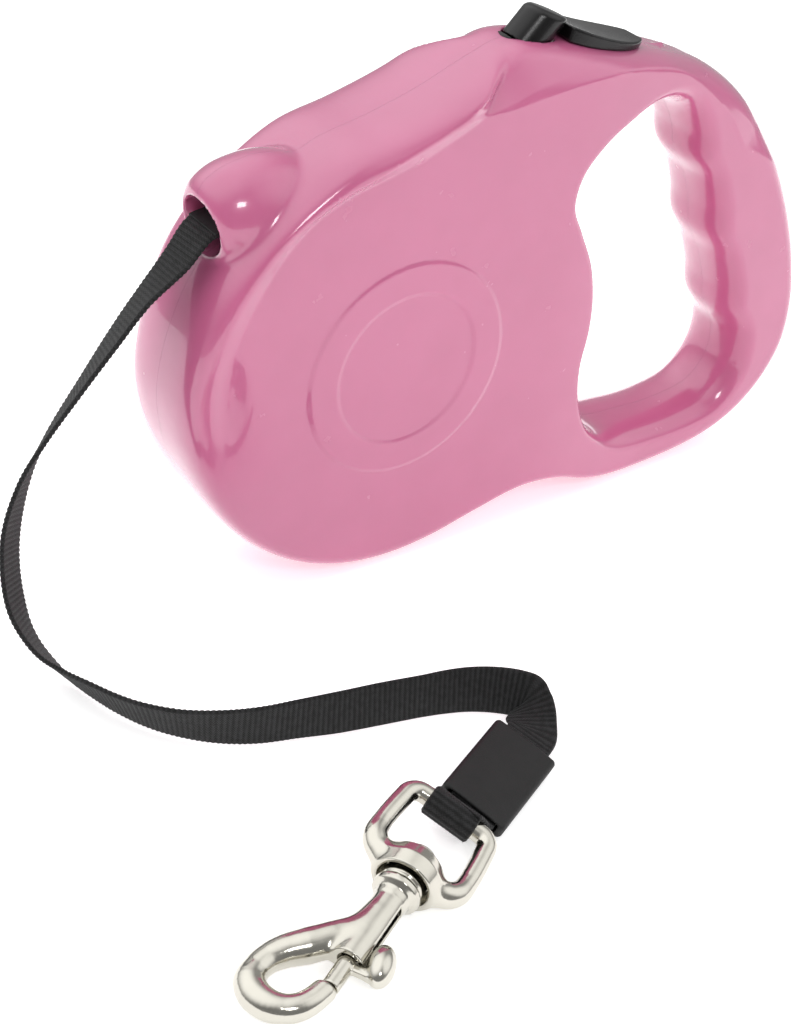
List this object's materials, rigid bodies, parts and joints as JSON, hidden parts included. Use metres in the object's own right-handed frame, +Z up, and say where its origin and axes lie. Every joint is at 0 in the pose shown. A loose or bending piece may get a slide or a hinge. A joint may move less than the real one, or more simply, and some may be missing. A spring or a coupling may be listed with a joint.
{
  "type": "retractable leash",
  "caption": "Handheld tape leash: two-shell case with a D-shaped grip, sprung reel, thumb brake and lock, and a swivelling bolt snap at the end of the tape.",
  "frame": {"origin": "middle of the case's lower edge, on the surface it stands on", "axes": "+X from the tape's nozzle towards the grip, +Y through the case's thickness from the near face to the far face, +Z up; the case stands on its edge"},
  "size_m": [0.2147, 0.1322, 0.1186],
  "materials": {
    "case_plastic": "smooth moulded plastic, satin gloss",
    "black_plastic": "moulded, slight sheen",
    "sleeve_plastic": "soft matte sleeve",
    "webbing": "ribbed woven tape",
    "nylon": "moulded nylon",
    "steel": "spring and axle steel",
    "nickel": "polished nickel plate"
  },
  "bodies": {
    "case": {"near_shell": "case_plastic", "far_shell": "case_plastic", "case_screw_1": "steel", "case_screw_2": "steel", "case_screw_3": "steel", "case_screw_4": "steel", "case_screw_5": "steel", "axle_post": "steel", "mainspring": "steel", "inner_tape": "webbing", "mouth_guide": "black_plastic", "brake_spring": "steel", "free_tape": "webbing", "crimp_sleeve": "sleeve_plastic", "end_loop": "webbing"},
    "reel_body": {"reel": "nylon", "spring_cover": "nylon", "tape_roll": "webbing"},
    "button_body": {"brake_button": "black_plastic"},
    "lock_body": {"lock_slider": "black_plastic"},
    "eye_body": {"snap_eye": "nickel"},
    "hook_body": {"snap_body": "nickel", "bolt_spring": "steel"},
    "bolt_body": {"snap_bolt": "nickel"}
  },
  "joints": [
    {"name": "reel_spin", "type": "hinge", "parent": "case", "child": "reel_body", "pos_m": [-0.03427, 0, 0.0488], "axis": [0, 1, 0], "continuous": true},
    {"name": "brake_press", "type": "slide", "parent": "case", "child": "button_body", "axis": [-0.6884, 0, -0.7254], "range_m": [0, 0.003], "stiffness_N_per_m": 600, "deforming": ["brake_spring"]},
    {"name": "lock_slide", "type": "slide", "parent": "case", "child": "lock_body", "axis": [0.9781, 0, -0.2079], "range_m": [0, 0.0035]},
    {"name": "eye_pivot", "type": "hinge", "parent": "case", "child": "eye_body", "pos_m": [-0.0738, -0.091, 0.0072], "axis": [0.4615, -0.819, -0.341], "range_deg": [-50, 60]},
    {"name": "snap_swivel", "type": "hinge", "parent": "eye_body", "child": "hook_body", "pos_m": [-0.08879, -0.09891, 0.0059], "axis": [-0.882, -0.465, -0.0767], "continuous": true},
    {"name": "bolt_slide", "type": "slide", "parent": "hook_body", "child": "bolt_body", "axis": [0.882, 0.465, 0.0767], "range_m": [0, 0.008], "stiffness_N_per_m": 200, "deforming": ["bolt_spring"]}
  ]
}
